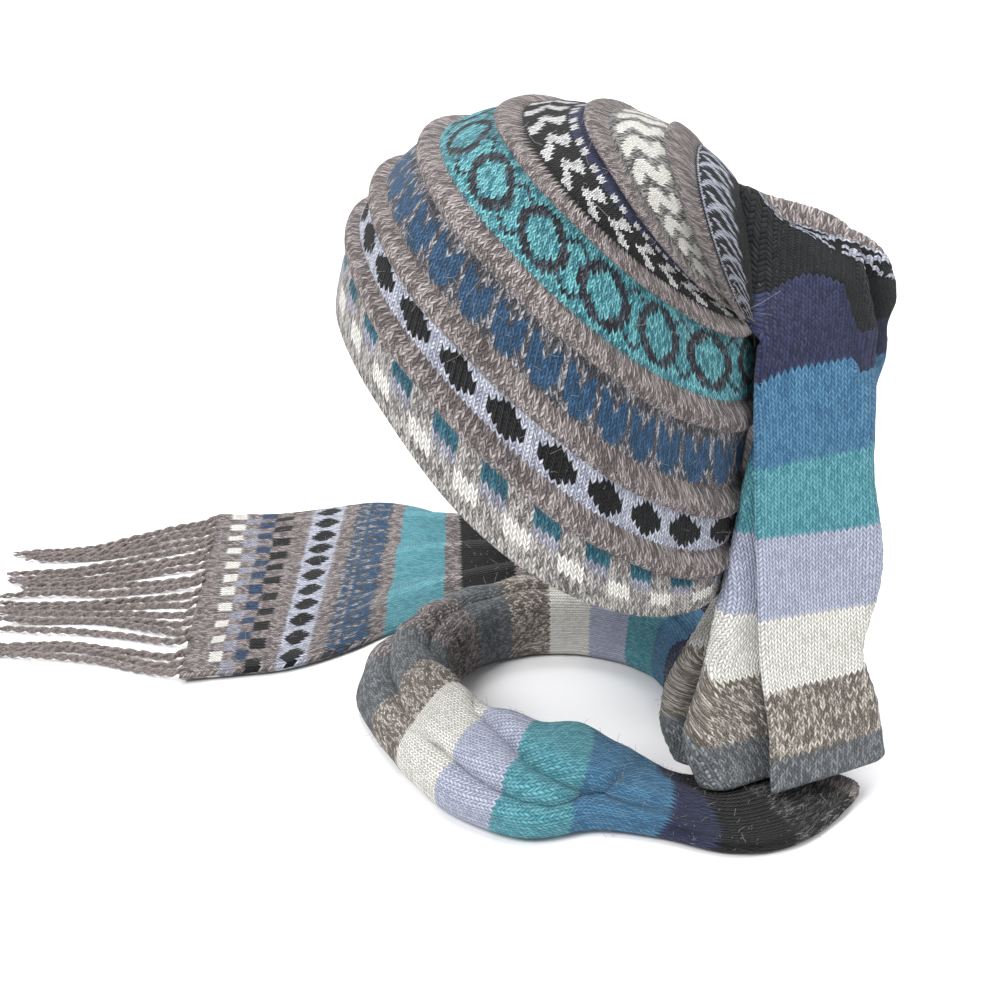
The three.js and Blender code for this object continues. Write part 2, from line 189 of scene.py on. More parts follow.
def cloth_slab(name, middle, row_number, wale_number):
    """Two faces of a flattened tube, half a thickness each side of its middle surface."""
    rows, points = middle.shape[:2]
    along = np.linalg.norm(np.diff(middle, axis=0), axis=-1).mean()
    across = np.linalg.norm(np.diff(middle, axis=1), axis=-1).mean()
    thin = edge_round(rows, along)[:, None] * edge_round(points, across)[None, :]
    rib = RIB_HEIGHT * np.cos(2 * math.pi * wale_number)
    offset = (HALF_CLOTH * thin + rib * thin)[..., None] * surface_normals(middle)
    upper = middle + offset
    lower = middle - offset
    size = rows * points
    faces = [grid_faces(rows, points, False), grid_faces(rows, points, False, size)[:, ::-1]]
    back = 2 * wale_number.max() - wale_number
    places = [
        grid_places(wale_number, row_number, False),
        grid_places(back, row_number, False)[:, ::-1],
    ]
    number = np.arange(size).reshape(rows, points)
    flat_places = np.stack([wale_number.ravel(), row_number.ravel()], axis=-1)
    for edge in (number[0], number[:, -1], number[-1, ::-1], number[::-1, 0]):
        strip = np.stack([edge[1:], edge[:-1], edge[:-1] + size, edge[1:] + size], axis=-1)
        faces.append(strip)
        places.append(flat_places[strip % size])
    return build_mesh(
        name,
        np.concatenate([upper.reshape(-1, 3), lower.reshape(-1, 3)]),
        np.concatenate(faces),
        np.concatenate(places),
    )


# %% [markdown]
# The hat. Its knitting is stretched over a blunt egg, longer from brow to nape. Each ring of
# stitches lies in a leaning plane: the rings are close together over the ear and fan out over
# the crown. Where a ring plane meets the egg is found by halving, as one would with callipers.
# Raised welts, each a tuck in the knitting, part the bands of colour.

# %% Hat shape
HEAD_CENTRE = np.array([-4.0, 0.0, 180.0])
HEAD_TURN = math.radians(-28.5)
HEAD_HALF = dict(length=99.0, width=81.0, height=114.0)
BROW_BLUNT, NAPE_BLUNT, CROWN_BLUNT = 2.05, 2.8, 2.25
LOWER_TAPER = 0.07
TUCK = dict(x=98.0, y=-24.0, depth=11.0, reach=32.0)
RING_SIDE_Y = 0.939
WELT_HEIGHT = 4.6
WELT_HALF = 6.0
HAT_END = 280.0
CAP_SHRINK = (0.8, 0.55, 0.3, 0.02)
CAP_RISE = np.array([2.5, -1.0, 1.5])
CAP_STEP = 8.0

# How many of the stitches lie before each share of a ring's length. They lie closer together
# beside the tail, which gathers them, and are stretched over the ear. The shares were fitted
# to the diamonds of the near side.
STRETCH = table(
    "length stitches",
    (0, 0),
    (0.64, 0.616),
    (0.70, 0.697),
    (0.74, 0.740),
    (0.83, 0.8235),
    (0.88, 0.867),
    (0.92, 0.905),
    (0.96, 0.952),
    (1, 1),
)

# Each row is a ring of stitches at its distance from the brim: the two ends of its chord in
# the plane y = 0, how far its sides sag, whether a welt stands on it, how far it stands off
# the egg, and how its plane leans from the near side to the far side.
HAT_RINGS = table(
    "knit crest_x crest_z foot_x foot_z sag welt grow side_x side_z",
    (0, -84, 195, 99, 101, 20, 0, 0, 0.312, 0.148),
    (31, -84, 236, 96, 118, 7, 1, 0, 0.312, 0.148),
    (63, -76, 259, 97, 142, 0, 1, 0, 0.312, 0.148),
    (101, -57, 284, 101, 177, -3, 1, 0, 0.312, 0.148),
    (149, -24, 300, 105, 208, -5, 1, 0, 0.312, 0.148),
    (195, 22, 297, 103, 209, -3, 1, 0, 0.27, 0.16),
    (239, 58.6, 277.4, 93, 210, 3, 1, 1.5, 0.153, 0.164),
    (255, 71, 263, 92.5, 208, 1, 0, 5.5, 0.15, 0.18),
    (271, 82.4, 247, 92, 207, 0, 0, 12, 0.15, 0.2),
    (280, 84, 243, 92, 209, 0, 0, 9, 0.15, 0.2),
)


def head_form(p):
    """Below 1 inside the egg, above 1 outside."""
    d = p - HEAD_CENTRE
    below = np.maximum(0, -d[..., 2]) / HEAD_HALF["height"]
    waist = 1 - LOWER_TAPER * below
    turned_x = d[..., 0] * math.cos(HEAD_TURN) + d[..., 1] * math.sin(HEAD_TURN)
    turned_y = d[..., 1] * math.cos(HEAD_TURN) - d[..., 0] * math.sin(HEAD_TURN)
    lengthwise = np.abs(turned_x) / (HEAD_HALF["length"] * waist)
    across = np.abs(turned_y) / (HEAD_HALF["width"] * waist)
    up = np.maximum(0, d[..., 2]) / HEAD_HALF["height"]
    blunt = np.where(turned_x < 0, BROW_BLUNT, NAPE_BLUNT)
    return lengthwise**blunt + across**CROWN_BLUNT + up**CROWN_BLUNT


def reach(start, direction):
    """Distance to the egg's surface from points inside it."""
    near = np.zeros(direction.shape[:-1])
    far = near + 260.0
    for _ in range(30):
        middle = (near + far) / 2
        inside = head_form(start + direction * middle[..., None]) < 1
        near = np.where(inside, middle, near)
        far = np.where(inside, far, middle)
    return near


def ring_points(knit, angle, lift):
    """Points of the rings at these distances from the brim, lifted off the egg."""
    place = np.interp(knit, HAT_RINGS["knit"], np.arange(len(HAT_RINGS["knit"])))
    row = rows_at(HAT_RINGS, place)
    zero = np.zeros_like(place)
    crest = np.stack([row["crest_x"], zero, row["crest_z"]], axis=-1)
    foot = np.stack([row["foot_x"], zero, row["foot_z"]], axis=-1)
    slope = unit(foot - crest)
    leaning = np.stack([row["side_x"], zero + RING_SIDE_Y, row["side_z"]], axis=-1)
    normal = unit(np.cross(slope, leaning))
    side = unit(np.cross(normal, slope))
    chord = (crest + foot) / 2
    shift = (reach(chord, slope) - reach(chord, -slope)) / 2
    centre = (chord + slope * shift[:, None])[:, None, :]
    a = angle[None, :, None]
    direction = -slope[:, None, :] * np.cos(a) + side[:, None, :] * np.sin(a)
    drop = row["sag"][:, None] * np.sin(angle)[None, :] ** 2
    centre = centre - normal[:, None, :] * drop[..., None]
    surface = centre + direction * reach(centre, direction)[..., None]
    from_tail = np.hypot(surface[..., 0] - TUCK["x"], surface[..., 1] - TUCK["y"])
    tuck = TUCK["depth"] * np.exp(-((from_tail / TUCK["reach"]) ** 2))
    away = lift + row["grow"][:, None] - tuck
    return surface + direction * away[..., None]


def stitch_places(rings):
    """The wale number of every point, counted along its ring."""
    steps = np.linalg.norm(np.roll(rings, -1, axis=1) - rings, axis=-1)
    length = np.cumsum(steps, axis=1)
    share = (length - steps) / length[:, -1:]
    return WALES_ROUND * np.interp(share, STRETCH["length"], STRETCH["stitches"])


def welt_lift(knit, angle):
    """How far the welts stand out, a little unevenly, as hand-eased tucks do."""
    lift = np.zeros((len(knit), len(angle)))
    for middle, is_welt in zip(HAT_RINGS["knit"], HAT_RINGS["welt"]):
        if not is_welt:
            continue
        wander = 0.7 * np.sin(3 * angle + middle) + 0.4 * np.sin(11 * angle + 2 * middle)
        d = (knit[:, None] - middle - wander[None, :]) / WELT_HALF
        bulge = np.clip(1 - d * d, 0, 1) ** 0.72
        gutter = 0.9 * np.exp(-(((np.abs(d) - 1.12) / 0.2) ** 2))
        swell = 1 + 0.12 * np.sin(7 * angle + middle)
        lift += WELT_HEIGHT * bulge * swell[None, :] - gutter
    return lift


def slack(knit, angle):
    """Shallow dents and swells where the bands lie a little loose over the crown."""
    k = knit[:, None]
    a = angle[None, :]
    loose = step(90, 200, k)
    wave = np.sin(0.09 * k + 3 * a) * np.sin(2 * a + 0.4) + 0.5 * np.sin(0.16 * k - 5 * a)
    return (0.3 + 0.9 * loose) * wave


# %% Hat mesh
def make_hat():
    points = 2 * WALES_ROUND
    angle = np.linspace(0, 2 * math.pi, points, endpoint=False)
    knit = np.arange(0, HAT_END + 0.1, FINE_STEP)
    rows = len(knit)
    rim = np.sqrt(1 - np.clip(1 - knit / (KNIT_WALL / 2), 0, 1) ** 2)
    lift = KNIT_WALL / 2 * (1 + rim)[:, None] + welt_lift(knit, angle) + slack(knit, angle)
    outer = ring_points(knit, angle, lift)
    top = outer[-1]
    hub = top.mean(axis=0)
    cap = [hub + (top - hub) * shrink + CAP_RISE * (1 - shrink**2) for shrink in CAP_SHRINK]
    outer = np.concatenate([outer, np.stack(cap)])
    inner_knit = np.concatenate([[0.0, 0.7, 1.5], np.linspace(8, HAT_END, 22)])
    inner_rim = np.sqrt(1 - np.clip(1 - inner_knit / (KNIT_WALL / 2), 0, 1) ** 2)
    inner_lift = np.repeat((KNIT_WALL / 2 * (1 - inner_rim))[:, None], points, axis=1)
    inner = ring_points(inner_knit, angle, inner_lift)
    ceiling = inner[-1].mean(axis=0)
    inner = np.concatenate([inner, ceiling + (inner[-1:] - ceiling) * 0.02])

    wale = stitch_places(outer)
    cap_knit = HAT_END + CAP_STEP * np.arange(1, len(CAP_SHRINK) + 1)
    row = np.concatenate([knit, cap_knit])[:, None] / ROW
    row = np.repeat(row, points, axis=1)
    inner_row = np.concatenate([inner_knit, [HAT_END + 30]])[:, None] / ROW
    inner_row = np.repeat(inner_row, points, axis=1)
    inner_wale = wale[: len(inner)]
    size = outer.shape[0] * points
    bridge_a = np.arange(points)
    bridge_b = (bridge_a + 1) % points
    bridge = np.stack([bridge_b, bridge_a, bridge_a + size, bridge_b + size], axis=-1)
    bridge_u = np.stack([bridge_a + 1, bridge_a, bridge_a, bridge_a + 1], axis=-1) / 2
    bridge_uv = np.stack([bridge_u, np.zeros_like(bridge_u)], axis=-1)
    faces = [
        grid_faces(len(outer), points, True),
        grid_faces(len(inner), points, True, size)[:, ::-1],
        bridge,
    ]
    places = [
        grid_places(wale, row, True, WALES_ROUND),
        grid_places(inner_wale, inner_row, True, WALES_ROUND)[:, ::-1],
        bridge_uv,
    ]
    joined = np.concatenate([outer.reshape(-1, 3), inner.reshape(-1, 3)])
    hat = build_mesh("hat_knitting", joined, np.concatenate(faces), np.concatenate(places))
    return hat, outer[:rows]


hat, hat_outer = make_hat()

# %% [markdown]
# The tail. Behind the crown the tube drops to the table in five pleats laid to and fro. The
# front panel's two edges are tabled, with how far the hidden pleats reach past them to the
# left and right, how deep one pleat is, how far the pleats lean to the right for each
# millimetre of depth, and the degrees that they swing round at the crown. The cloth's line is
# drawn with round folds, then spaced evenly by its length.

# %% Tail shape
TAIL = table(
    "left_x left_y left_z right_x right_y right_z left right deep skew turn knit",
    (82, -59, 207, 80, -17, 256, -36, 0, 5.6, 0, 44, 280),
    (81, -63, 204, 99, -23, 254, -34, 0, 6, 0, 36, 290),
    (80, -65, 201, 120, -34, 245, -22, 8, 7.5, 0.3, 16, 305),
    (79, -66, 193, 127, -49, 223, -13, 20, 8, 0.45, 4, 328),
    (79, -68, 176, 128, -58, 192, -7, 13, 8, 0.5, 0, 353),
    (80, -70, 148, 131, -61, 155, 3, 2, 8, 0.5, 0, 385),
    (83, -72, 110, 137, -62, 112, 12, 0, 8, 0.52, 0, 426),
    (85, -75, 85, 138, -62, 88, 16, 0, 9, 0.35, 0, 451),
    (87, -82, 60, 133, -66, 64, 20, 0, 10, 0, 0, 477),
    (89, -94, 38, 142, -72, 42, 30, 0, 11, 0, 0, 504),
    (89, -106, 16.5, 147, -78, 18.5, 20, 0, 12, 0, 0, 531),
)
# Where the colours change at the top of the tail, as heights above the table at each place
# across, both as seen from the near side in the plane y = TOP_PLANE: the lower edge of the
# last welt, of the hooked pattern, and of the two stripes.
TOP_PLANE = -50.0
TOP_COLOURS = table(
    "x welt hooks navy denim",
    (80, 264, 262, 218, 186),
    (84, 258, 256, 221, 188),
    (88, 252.5, 251, 225, 191),
    (93, 251, 248, 228, 193),
    (100, 249.5, 245.5, 231, 195),
    (108, 247, 240, 230, 195),
    (116, 244, 236.5, 226.5, 194),
    (119, 243, 235.5, 217, 194),
    (122, 242.5, 234, 203, 193),
    (124, 242, 233, 188, 184),
    (134, 238.5, 225, 186, 182),
    (140, 235, 221, 186, 182),
)
TAIL_RUNS = 5
TAIL_ROWS, TAIL_COUNT = 190, 190
FOLD_ARC_STEPS = 8
# The pleats behind the front panel show a later part of the knitting, and the tail's first
# rows are drawn into the crown.
BEHIND_KNIT = 13.0
INTO_CROWN = np.array([-9.0, 1.0, 5.0])


def even_line(points, count):
    """The same line with its points spaced evenly along it, and its length."""
    lengths = np.linalg.norm(np.diff(points, axis=0), axis=1)
    s = np.concatenate([[0], np.cumsum(lengths)])
    even = np.linspace(0, s[-1], count)
    columns = [np.interp(even, s, column) for column in points.T]
    return np.stack(columns, axis=-1), s[-1]


def soften(values, times=1):
    """Evens out sharp corners along the second axis, keeping both ends."""
    for _ in range(times):
        middle = (values[:, :-2] + 2 * values[:, 1:-1] + values[:, 2:]) / 4
        values = np.concatenate([values[:, :1], middle, values[:, -1:]], axis=1)
    return values


def tail_line(row):
    """One section of the tail: its points, the same on its own flat plan, and its length."""
    left = np.array([row["left_x"], row["left_y"], row["left_z"]])
    right = np.array([row["right_x"], row["right_y"], row["right_z"]])
    across = right - left
    width = np.linalg.norm(across)
    across = across / width
    down = unit(np.array([across[2], 0, -across[0]]))
    back = unit(np.cross(across, down))
    if back[1] < 0:
        back = -back
    swing = math.radians(row["turn"])
    back = back * math.cos(swing) - np.cross(across, back) * math.sin(swing)
    radius = row["deep"] / 2
    line = [(0.0, 0.0)]
    depth = 0.0
    for k in range(TAIL_RUNS):
        sign = 1 if k % 2 == 0 else -1
        last = k == TAIL_RUNS - 1
        far_right = width if k == 0 else width + row["right"] - row["skew"] * depth
        stop = far_right if k % 2 == 0 else -row["left"]
        stop = stop - sign * (0 if last else radius)
        line.append((stop, depth))
        if not last:
            for s in range(1, FOLD_ARC_STEPS + 1):
                a = math.pi * s / FOLD_ARC_STEPS
                out = sign * radius * math.sin(a)
                line.append((stop + out, depth + radius * (1 - math.cos(a))))
            depth += row["deep"]
    flat, length = even_line(np.array(line), TAIL_COUNT)
    flat[:, 0] += row["skew"] * flat[:, 1]
    return left + flat[:, :1] * across + flat[:, 1:] * back, flat, length


# %% Tail mesh
def top_knit(x, z):
    """Distance along the knitting for places at the top of the tail."""
    line = {name: np.interp(x, TOP_COLOURS["x"], values) for name, values in TOP_COLOURS.items()}
    edges = [(233, line["welt"] + 13), (245, line["welt"]), (271, line["hooks"])]
    edges += [(305, line["navy"]), (342, line["denim"]), (376, line["denim"] - 34)]
    knit = np.full(x.shape, 376.0)
    for (start, high), (stop, low) in zip(edges[:-1], edges[1:]):
        share = np.clip((high - z) / np.maximum(high - low, 0.5), 0, 1)
        knit = np.where(z > low, np.minimum(knit, start + (stop - start) * share), knit)
    return knit


def make_tail():
    places = np.linspace(0, len(TAIL["knit"]) - 1, TAIL_ROWS)
    rows = rows_at(TAIL, places)
    sections = []
    for i in range(TAIL_ROWS):
        sections.append(tail_line({name: values[i] for name, values in rows.items()}))
    lines, flats, lengths = map(np.array, zip(*sections))
    middle = soften(lines, 3)
    depth = flats[..., 1]
    wale = np.linspace(0, 1, TAIL_COUNT)[None, :] * lengths[:, None] / WALE
    knit = np.repeat(rows["knit"][:, None], TAIL_COUNT, axis=1)
    behind = step(6, 16, depth) * step(6.5, 8.0, places)[:, None]
    knit = knit + BEHIND_KNIT * behind
    toward = middle[..., 1] - TOP_PLANE
    seen_x = middle[..., 0] - 0.2 * toward
    seen_z = middle[..., 2] + 0.19 * toward
    upper = 1 - step(3.0, 4.4, places)[:, None]
    knit = knit * (1 - upper) + top_knit(seen_x, seen_z) * upper
    wale = wale * (1 - upper) + (seen_x - 80) / WALE * upper
    start = (1 - step(0, 0.9, places))[:, None, None]
    middle = middle + start * INTO_CROWN
    ripple = 0.8 * np.sin(knit / 23 + wale / 6) + 0.5 * np.sin(knit / 9 - wale / 4)
    middle = middle + surface_normals(middle) * ripple[..., None]
    return cloth_slab("tail_knitting", middle, knit / ROW, wale), middle


tail, tail_middle = make_tail()

# %% [markdown]
# The scarf round the neck. The flattened tube is gathered into one soft roll: it comes up the
# inner side, over the top and down the outer side, and the rest is tucked away inside. The
# roll's section is drawn once, on squared paper from inner to outer edge and from table to
# crest, with both ends of the line folded up inside. The photo doesn't show those folds: they
# are a guess, and hold some of the cloth that is out of sight. Tables say how wide and how high
# the roll is at each compass heading, and by how many millimetres of knitting its stripes lean.

# %% Roll shape
NECK_X, NECK_Y = 2.0, -5.0
ROLL_SECTION = table(
    "out up",
    (0.60, 0.12),
    (0.52, 0.30),
    (0.40, 0.55),
    (0.30, 0.30),
    (0.22, 0.08),
    (0.06, 0.06),
    (0.00, 0.34),
    (0.03, 0.74),
    (0.17, 0.98),
    (0.38, 0.98),
    (0.60, 0.84),
    (0.82, 0.62),
    (0.97, 0.34),
    (0.97, 0.08),
    (0.80, 0.05),
    (0.70, 0.32),
    (0.52, 0.64),
    (0.36, 0.78),
    (0.26, 0.66),
)
FRONT_WRAP = table(
    "heading inner outer high knit skew",
    (150, 56, 104, 44, 858, 0),
    (174, 53, 102, 43, 884, 0),
    (198, 53, 94, 42, 918, 2),
    (220, 57, 96, 42, 951, 4),
    (242, 64, 109, 43, 984, 8),
    (260, 68, 118, 42, 1020, 14),
    (276, 69, 110, 38, 1052, 15),
    (289, 72, 120, 27, 1078, 12),
    (300, 84, 144, 17, 1100, 6),
    (313, 96, 153, 14, 1130, 0),
    (331, 100, 152, 13, 1170, 0),
)
REAR_WRAP = table(
    "heading inner outer high knit skew",
    (-20, 54, 101, 32, 560, 0),
    (5, 55, 102, 38, 600, 0),
    (30, 60, 107, 44, 650, 0),
    (60, 64, 111, 46, 706, 0),
    (90, 65, 112, 45, 760, 0),
    (120, 62, 109, 44, 810, 0),
    (149, 56, 104, 44, 858, 0),
)
# Creases run along the roll: at each heading, how far across the visible face they lie
# (0 at the inner foot, 1 at the outer foot), how deep and how wide they are.
def crease(*rows):
    return table("heading across deep wide", *rows)


FRONT_CREASES = [
    crease(
        (150, 0.42, 9, 0.07),
        (185, 0.40, 6, 0.08),
        (205, 0.36, 1.5, 0.09),
        (225, 0.38, 0, 0.09),
        (242, 0.48, 5, 0.07),
        (258, 0.62, 7, 0.06),
        (272, 0.78, 5, 0.06),
        (290, 0.80, 1, 0.06),
        (331, 0.5, 0, 0.06),
    ),
    crease(
        (150, 0.70, 10, 0.07),
        (185, 0.70, 8, 0.07),
        (205, 0.74, 4, 0.06),
        (222, 0.76, 0.5, 0.05),
        (236, 0.76, 4, 0.05),
        (256, 0.82, 6, 0.05),
        (275, 0.84, 4, 0.05),
        (292, 0.5, 3, 0.08),
        (331, 0.45, 2, 0.08),
    ),
]
REAR_CREASES = [
    crease((-20, 0.45, 6, 0.07), (60, 0.4, 7, 0.07), (149, 0.42, 9, 0.07)),
    crease((-20, 0.7, 6, 0.07), (60, 0.74, 8, 0.07), (149, 0.70, 10, 0.07)),
]
ROLL_COUNT = 176
INNER_FOOT, OUTER_FOOT = (0.06, 0.06), (0.97, 0.08)


def roll_line():
    """The section's line, smooth and evenly spaced, and where each point is across its face."""
    fine = rows_at(ROLL_SECTION, np.linspace(0, len(ROLL_SECTION["out"]) - 1, 600))
    line, _ = even_line(np.stack([fine["out"], fine["up"]], axis=-1), ROLL_COUNT)
    first, last = (np.argmin(np.hypot(*(line - foot).T)) for foot in (INNER_FOOT, OUTER_FOOT))
    return line, (np.arange(ROLL_COUNT) - first) / (last - first)


def make_wrap(name, wrap, creases, rows):
    """One stretch of the roll, with creases pressed into the face that shows."""
    row = rows_at(wrap, np.linspace(0, len(wrap["heading"]) - 1, rows))
    line, face = roll_line()
    width = row["outer"] - row["inner"] - 2 * HALF_CLOTH
    radius = (row["inner"] + HALF_CLOTH + width * line[:, 0][:, None]).T
    height = (HALF_CLOTH + (row["high"] - 2 * HALF_CLOTH) * line[:, 1][:, None]).T
    heading = np.radians(row["heading"])[:, None]
    x = NECK_X + radius * np.cos(heading)
    y = NECK_Y + radius * np.sin(heading)
    middle = soften(np.stack([x, y, height], axis=-1), 2)
    inward = np.zeros(middle.shape[:2])
    for crease in creases:
        at = np.interp(row["heading"], crease["heading"], np.arange(len(crease["heading"])))
        place = rows_at(crease, at)
        d = (face[None, :] - place["across"][:, None]) / place["wide"][:, None]
        inward += place["deep"][:, None] * np.exp(-d * d)
    visible = step(-0.05, 0.12, face) * (1 - step(0.88, 1.05, face))
    puff = 1.2 * np.sin(9 * face[None, :] + 3 * heading)
    puff = puff + 0.8 * np.sin(17 * heading + 5 * face[None, :])
    push = (puff - inward) * visible[None, :]
    middle = middle + surface_normals(middle) * push[..., None]
    middle[..., 2] = np.maximum(middle[..., 2], HALF_CLOTH + 0.1)
    knit = row["knit"][:, None] + row["skew"][:, None] * (face[None, :] - 0.5) * 2
    wale = np.repeat((np.arange(ROLL_COUNT) / 2)[None, :], rows, axis=0)
    return cloth_slab(name, middle, knit / ROW, wale), middle


front, front_middle = make_wrap("front_knitting", FRONT_WRAP, FRONT_CREASES, 210)
rear, rear_middle = make_wrap("rear_knitting", REAR_WRAP, REAR_CREASES, 120)

# %% [markdown]
# The end of the scarf. The pleated tube comes round once more behind the neck and opens out
# flat. Each section is a folded line: the runs of cloth stand up between round folds, and the
# fold angle falls from nearly upright to nearly flat towards the fringe. near and far are the
# two edges in plan, and low is the share of their full height that the folds keep.

# %% Scarf end shape
SCARF_END = table(
    "near_x near_y far_x far_y fold low knit",
    (106.4, -24, 147, -28, 89, 0.7, 1178),
    (106.4, 14, 147, 16, 89, 0.9, 1216),
    (102, 56, 142, 72, 89, 0.9, 1262),
    (76, 94, 104, 130, 89, 0.9, 1318),
    (36, 123, 52, 188, 84, 0.8, 1380),
    (-6, 124, -4, 220, 77, 0.6, 1424),
    (-46, 118, -50, 262, 66, 0.4, 1466),
    (-84, 96, -84, 298, 48, 0.22, 1506),
    (-110, 68, -112, 309, 30, 0.12, 1536),
    (-138, 46, -142, 299, 16, 0.1, 1566),
    (-166, 38, -180, 286, 8, 0.1, 1600),
    (-194, 30, -222, 281, 4, 0.1, 1636),
)
END_RUNS = 6
TUBE_FLAT_WIDTH = 250.0
FOLD_RADIUS = 3.9
END_ROWS, END_COUNT = 268, 168
# The rows of the flat end lean by this many millimetres from one edge to the other.
END_SLANT = 9.0


def folded_line(angle):
    """Offsets across and up along the pleats: the heading swings between plus and minus angle."""
    run = TUBE_FLAT_WIDTH / END_RUNS
    arc = min(FOLD_RADIUS * angle, 0.45 * run)
    s = np.linspace(0, TUBE_FLAT_WIDTH, END_COUNT)
    knots = [0.0]
    headings = [angle]
    for k in range(1, END_RUNS):
        sign = 1 if k % 2 == 1 else -1
        knots += [k * run - arc, k * run + arc]
        headings += [sign * angle, -sign * angle]
    knots.append(TUBE_FLAT_WIDTH)
    headings.append(headings[-1])
    heading = np.interp(s, knots, headings)
    gap = s[1] - s[0]
    middle = (heading[1:] + heading[:-1]) / 2
    across = np.concatenate([[0], np.cumsum(np.cos(middle) * gap)])
    up = np.concatenate([[0], np.cumsum(np.sin(middle) * gap)])
    return across / across[-1], up - up.min()


def make_scarf_end():
    places = np.linspace(0, len(SCARF_END["knit"]) - 1, END_ROWS)
    row = rows_at(SCARF_END, places)
    grid = []
    for i in range(END_ROWS):
        across, up = folded_line(math.radians(max(row["fold"][i], 1)))
        near = np.array([row["near_x"][i], row["near_y"][i], 0])
        far = np.array([row["far_x"][i], row["far_y"][i], 0])
        point = near + (far - near) * across[:, None]
        point[:, 2] = HALF_CLOTH + up * row["low"][i]
        grid.append(point)
    middle = np.stack(grid)
    wale = np.repeat(np.linspace(0, END_WALES, END_COUNT)[None, :], END_ROWS, axis=0)
    slant = END_SLANT * step(8, 11, places)[:, None] * np.linspace(1, 0, END_COUNT)[None, :]
    knit = row["knit"][:, None] + slant
    flat = step(7.5, 10.5, places)[:, None]
    roll = 1.3 * np.sin(knit / 30 + wale / 9) ** 2 + 0.8 * np.sin(wale / 3.1 + knit / 80) ** 2
    middle[..., 2] += roll * (0.4 + 0.6 * flat)
    return cloth_slab("end_knitting", middle, knit / ROW, wale), middle


end, end_middle = make_scarf_end()

# %% [markdown]
# Yarns. Each yarn is a main colour, a second ply and how much of the second ply shows. Plain
# yarns have a close second ply, and marls have one that is far lighter or darker.

# %% Yarn colours
def paint(code):
    """A linear colour from six web digits."""
    srgb = np.array([int(code[k : k + 2], 16) for k in (0, 2, 4)]) / 255
    linear = np.where(srgb > 0.04045, ((srgb + 0.055) / 1.055) ** 2.4, srgb / 12.92)
    return tuple(linear)


YARNS = {
    "edge marl": ("3f3e3e", "c4c0bb", 0.42),
    "grey marl": ("4c4a4a", "c2bebb", 0.42),
    "taupe": ("b7adac", "5b5352", 0.38),
    "pale lavender": ("d4d8e5", "8f94a9", 0.3),
    "silver marl": ("c4c3c8", "404148", 0.45),
    "aqua": ("7ecbd2", "2b6b7a", 0.36),
    "black": ("08090b", "1d1f23", 0.25),
    "navy": ("3a3f60", "262b45", 0.3),
    "charcoal marl": ("232426", "b5b4b0", 0.36),
    "charcoal": ("24272a", "121416", 0.38),
    "denim": ("5a8fb2", "3d6d93", 0.3),
    "teal": ("6db3bf", "468c9b", 0.3),
    "lavender": ("c3c9de", "a5abc2", 0.26),
    "white": ("f8f6f0", "d3cfc5", 0.22),
    "oatmeal": ("e2dbd1", "6a6058", 0.42),
    "grey": ("93989c", "5a5e62", 0.4),
    "block blue": ("417a8c", "1d4b5c", 0.34),
    "block lavender": ("b9bac8", "7f8190", 0.34),
    "comb blue": ("3f648a", "25445f", 0.36),
    "ring charcoal": ("1d1e26", "66717c", 0.2),
    "zigzag grey": ("e6e6e6", "8b8c90", 0.24),
    "flecked black": ("111215", "9b9a9a", 0.17),
    "deep blue": ("3c597e", "1d3150", 0.36),
    "fringe": ("857b78", "3f3937", 0.4),
}

# %% [markdown]
# Wires. A stitch is drawn by arithmetic on the wale and row numbers, and a small class lets
# that arithmetic be written as plain sums: each operation adds one maths node.

# %% Shader arithmetic
def plug(tree, value, socket):
    """Gives an input its value: a wire, another node's output, or a plain number or colour."""
    if isinstance(value, Wire):
        tree.links.new(value.socket, socket)
    elif isinstance(value, bpy.types.NodeSocket):
        tree.links.new(value, socket)
    else:
        socket.default_value = value


def add_node(tree, kind, **values):
    """A shader node with these inputs, where an underscore stands for a space in a name."""
    node = tree.nodes.new("ShaderNode" + kind)
    for name, value in values.items():
        plug(tree, value, node.inputs[name.replace("_", " ")])
    return node


def new_material(name, **values):
    """A material, its node tree and its main shader, with these inputs of the shader set."""
    material = bpy.data.materials.new(name)
    material.use_nodes = True
    shader = material.node_tree.nodes["Principled BSDF"]
    for key, value in values.items():
        shader.inputs[key.replace("_", " ")].default_value = value
    return material, material.node_tree, shader


class Wire:
    """One output socket of a shader tree, which can be added, multiplied and so on."""

    def __init__(self, tree, socket):
        self.tree = tree
        self.socket = socket

    def maths(self, operation, *others):
        node = self.tree.nodes.new("ShaderNodeMath")
        node.operation = operation
        for value, socket in zip((self, *others), node.inputs):
            plug(self.tree, value, socket)
        return Wire(self.tree, node.outputs[0])

    def __add__(self, other):
        return self.maths("ADD", other)

    def __sub__(self, other):
        return self.maths("SUBTRACT", other)

    def __mul__(self, other):
        return self.maths("MULTIPLY", other)

    def __truediv__(self, other):
        return self.maths("DIVIDE", other)

    def wrap(self, size):
        return self.maths("FLOORED_MODULO", size)

    def floor(self):
        return self.maths("FLOOR")

    def fraction(self):
        return self.maths("FRACT")

    def size(self):
        return self.maths("ABSOLUTE")

    def power(self, exponent):
        return self.maths("POWER", exponent)

    def below(self, limit):
        return self.maths("LESS_THAN", limit)

    def above(self, limit):
        return self.maths("GREATER_THAN", limit)

    def flipped(self):
        return (self * -1.0) + 1.0


def ramp(tree, wire, stops):
    """A stepped colour ramp: (place, colour) from 0 to 1, each colour held to the next stop."""
    node = tree.nodes.new("ShaderNodeValToRGB")
    node.color_ramp.interpolation = "CONSTANT"
    elements = node.color_ramp.elements
    while len(elements) < len(stops):
        elements.new(1.0)
    for element, (place, colour) in zip(elements, stops):
        element.position = place
        element.color = (*colour, 1.0)
    plug(tree, wire, node.inputs[0])
    return node.outputs[0]


